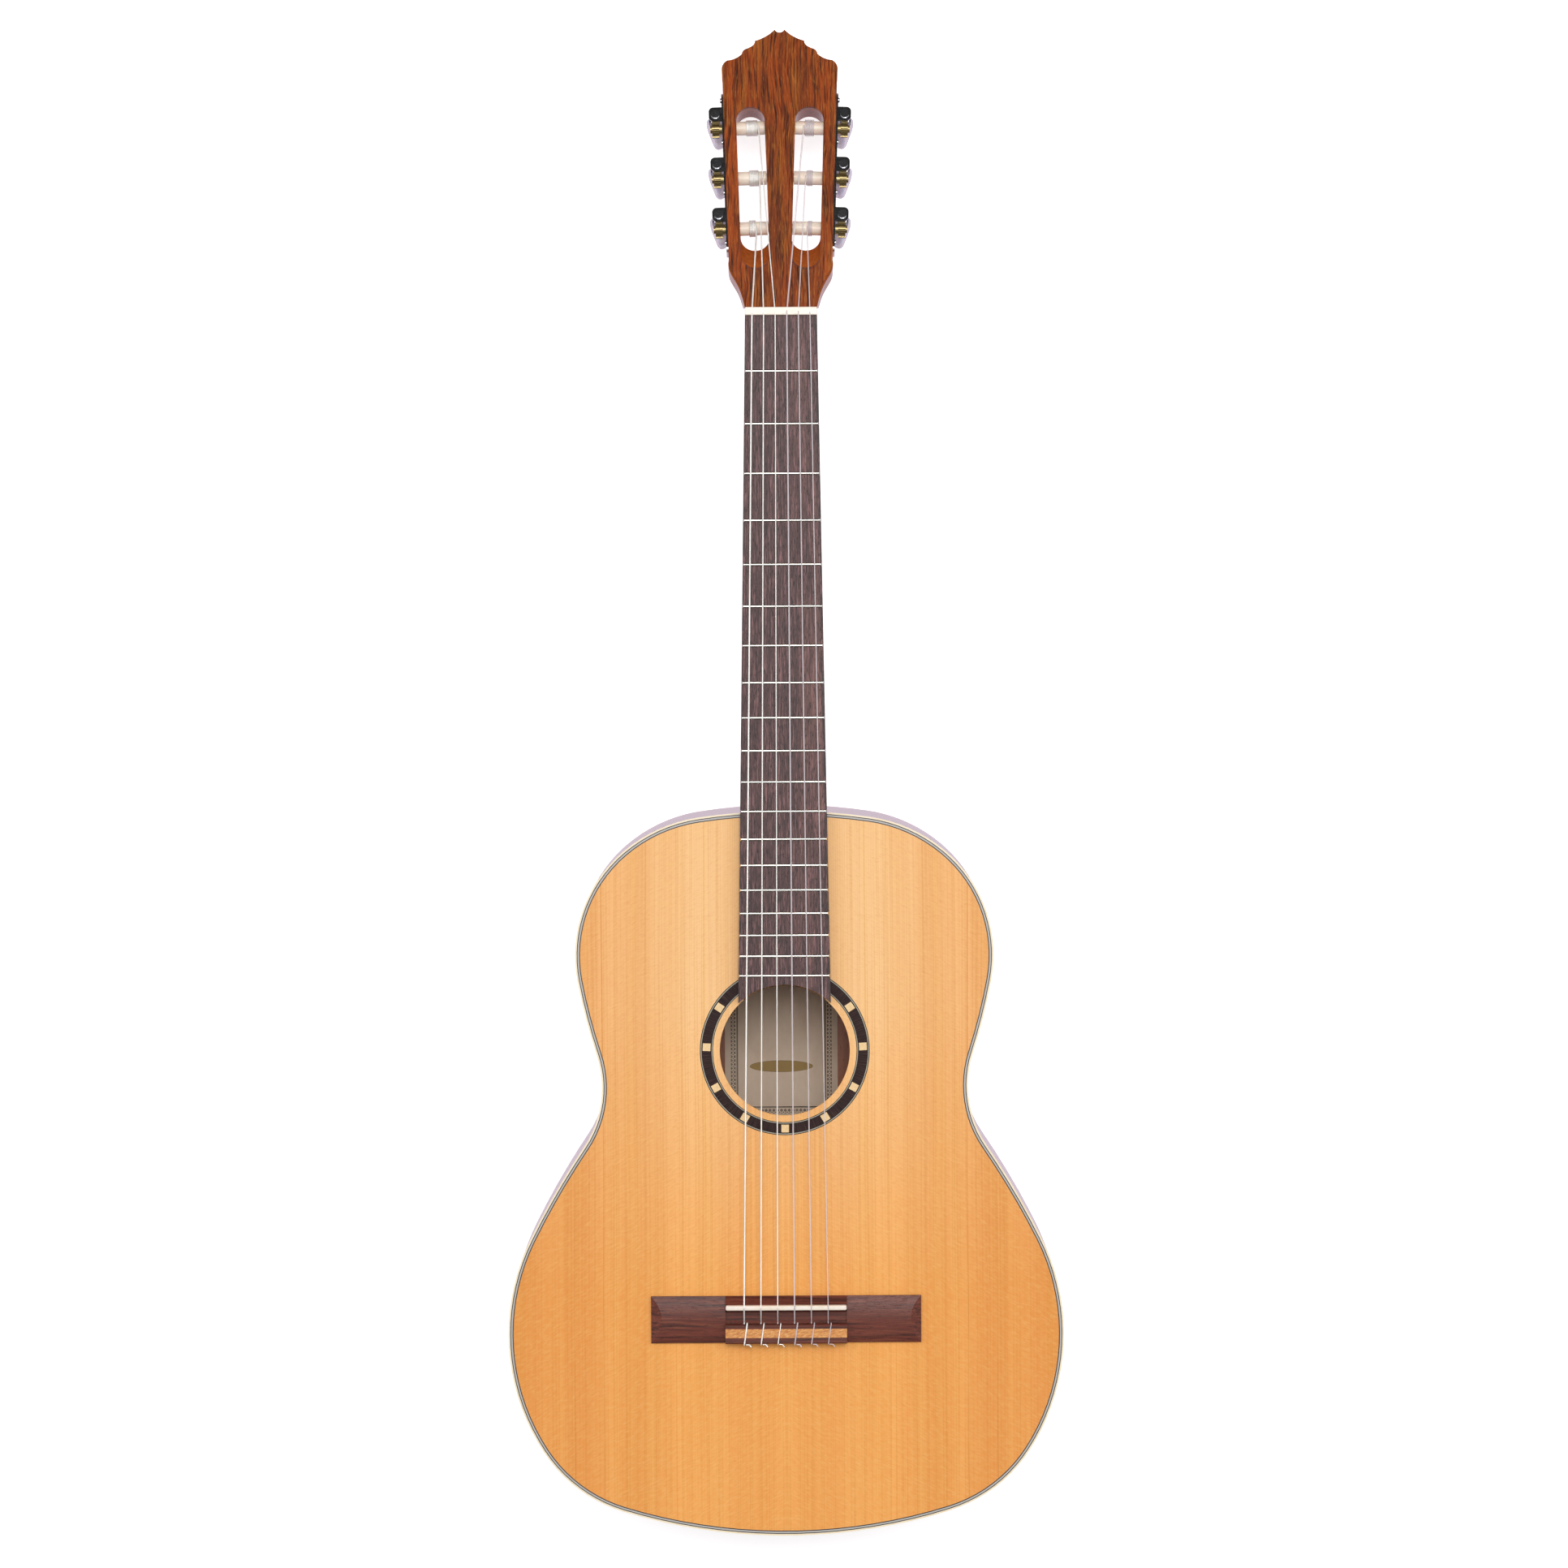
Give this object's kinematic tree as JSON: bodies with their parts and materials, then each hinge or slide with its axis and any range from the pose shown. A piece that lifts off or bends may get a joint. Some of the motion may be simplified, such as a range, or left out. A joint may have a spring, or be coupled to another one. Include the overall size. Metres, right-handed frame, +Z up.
{
  "type": "classical guitar",
  "caption": "Classical guitar with a cedar top, slotted crown-shaped head, pearl tuning buttons, tied bridge and nylon strings.",
  "frame": {"origin": "on the floor under the middle of the bounding box, the guitar lying on its back", "axes": "+Y along the strings from the tail to the head, +X to the treble side, +Z up out of the soundboard"},
  "size_m": [0.3664, 0.9952, 0.1123],
  "materials": {
    "top_wood": "satin lacquer over golden cedar",
    "brace_wood": "raw spruce",
    "body_wood": "gloss lacquer over reddish brown mahogany",
    "neck_wood": "gloss lacquer over mahogany",
    "board_wood": "oiled dark rosewood",
    "head_veneer_wood": "gloss lacquer over reddish rosewood",
    "binding_wood": "gloss lacquer over pale maple",
    "edge_lines": "dark and pale veneer lines",
    "rosette_wood": "gloss lacquer over dark wood",
    "inlay_wood": "gloss lacquer over pale and speckled wood",
    "fret_metal": "polished",
    "ivory_plastic": "smooth",
    "roller_plastic": "smooth",
    "plate_metal": "polished",
    "worm_metal": "polished",
    "gear_brass": "turned",
    "pearl_plastic": "pearl",
    "wound_string": "silver wound",
    "label_paper": "matte",
    "clear_string": "clear"
  },
  "bodies": {
    "guitar": {"back_braces": "brace_wood", "back_plate": "body_wood", "bindings": "binding_wood", "bridge": "board_wood", "fingerboard": "board_wood", "frets": "fret_metal", "head_veneer": "head_veneer_wood", "label": "label_paper", "linings": "brace_wood", "neck": "neck_wood", "nut": "ivory_plastic", "plate_screws": "plate_metal", "purfling": "edge_lines", "rosette": "rosette_wood", "rosette_inlays": "inlay_wood", "saddle": "ivory_plastic", "side_bass": "body_wood", "side_treble": "body_wood", "soundboard": "top_wood", "soundboard_braces": "brace_wood", "string_1": "clear_string", "string_2": "clear_string", "string_3": "clear_string", "string_4": "wound_string", "string_5": "wound_string", "string_6": "wound_string", "tail_block": "neck_wood", "tie_block_inlay": "inlay_wood", "tuner_plate_bass": "plate_metal", "tuner_plate_treble": "plate_metal"},
    "tuner_1": {"worm_1": "worm_metal", "button_1": "pearl_plastic"},
    "roller_set_1": {"roller_1": "roller_plastic", "gear_1": "gear_brass", "coil_1": "clear_string"},
    "tuner_2": {"worm_2": "worm_metal", "button_2": "pearl_plastic"},
    "roller_set_2": {"roller_2": "roller_plastic", "gear_2": "gear_brass", "coil_2": "clear_string"},
    "tuner_3": {"worm_3": "worm_metal", "button_3": "pearl_plastic"},
    "roller_set_3": {"roller_3": "roller_plastic", "gear_3": "gear_brass", "coil_3": "clear_string"},
    "tuner_4": {"worm_4": "worm_metal", "button_4": "pearl_plastic"},
    "roller_set_4": {"roller_4": "roller_plastic", "gear_4": "gear_brass", "coil_4": "wound_string"},
    "tuner_5": {"worm_5": "worm_metal", "button_5": "pearl_plastic"},
    "roller_set_5": {"roller_5": "roller_plastic", "gear_5": "gear_brass", "coil_5": "wound_string"},
    "tuner_6": {"worm_6": "worm_metal", "button_6": "pearl_plastic"},
    "roller_set_6": {"roller_6": "roller_plastic", "gear_6": "gear_brass", "coil_6": "wound_string"}
  },
  "joints": [
    {"name": "tuner_turn_1", "type": "hinge", "parent": "guitar", "child": "tuner_1", "pos_m": [0.04068, 0.37155, 0.07393], "axis": [0, 0.2756, 0.9613], "continuous": true},
    {"name": "tuner_turn_2", "type": "hinge", "parent": "guitar", "child": "tuner_2", "pos_m": [0.04175, 0.40518, 0.06429], "axis": [0, 0.2756, 0.9613], "continuous": true},
    {"name": "tuner_turn_3", "type": "hinge", "parent": "guitar", "child": "tuner_3", "pos_m": [0.04283, 0.4388, 0.05465], "axis": [0, 0.2756, 0.9613], "continuous": true},
    {"name": "tuner_turn_4", "type": "hinge", "parent": "guitar", "child": "tuner_4", "pos_m": [-0.04283, 0.4388, 0.05465], "axis": [0, 0.2756, 0.9613], "continuous": true},
    {"name": "tuner_turn_5", "type": "hinge", "parent": "guitar", "child": "tuner_5", "pos_m": [-0.04175, 0.40518, 0.06429], "axis": [0, 0.2756, 0.9613], "continuous": true},
    {"name": "tuner_turn_6", "type": "hinge", "parent": "guitar", "child": "tuner_6", "pos_m": [-0.04068, 0.37155, 0.07393], "axis": [0, 0.2756, 0.9613], "continuous": true},
    {"name": "roller_turn_1", "type": "hinge", "parent": "guitar", "child": "roller_set_1", "pos_m": [0.03484, 0.36403, 0.07609], "axis": [0.9995, -0.0295, 0.0085], "continuous": true},
    {"name": "roller_turn_2", "type": "hinge", "parent": "guitar", "child": "roller_set_2", "pos_m": [0.03591, 0.39766, 0.06645], "axis": [0.9995, -0.0295, 0.0085], "continuous": true},
    {"name": "roller_turn_3", "type": "hinge", "parent": "guitar", "child": "roller_set_3", "pos_m": [0.03698, 0.43128, 0.0568], "axis": [0.9995, -0.0295, 0.0085], "continuous": true},
    {"name": "roller_turn_4", "type": "hinge", "parent": "guitar", "child": "roller_set_4", "pos_m": [-0.03698, 0.43128, 0.0568], "axis": [-0.9995, -0.0295, 0.0085], "continuous": true},
    {"name": "roller_turn_5", "type": "hinge", "parent": "guitar", "child": "roller_set_5", "pos_m": [-0.03591, 0.39766, 0.06645], "axis": [-0.9995, -0.0295, 0.0085], "continuous": true},
    {"name": "roller_turn_6", "type": "hinge", "parent": "guitar", "child": "roller_set_6", "pos_m": [-0.03484, 0.36403, 0.07609], "axis": [-0.9995, -0.0295, 0.0085], "continuous": true}
  ],
  "couplings": [
    {"joint": "roller_turn_1", "follows": "tuner_turn_1", "ratio": -0.071429},
    {"joint": "roller_turn_2", "follows": "tuner_turn_2", "ratio": -0.071429},
    {"joint": "roller_turn_3", "follows": "tuner_turn_3", "ratio": -0.071429},
    {"joint": "roller_turn_4", "follows": "tuner_turn_4", "ratio": -0.071429},
    {"joint": "roller_turn_5", "follows": "tuner_turn_5", "ratio": -0.071429},
    {"joint": "roller_turn_6", "follows": "tuner_turn_6", "ratio": -0.071429}
  ]
}
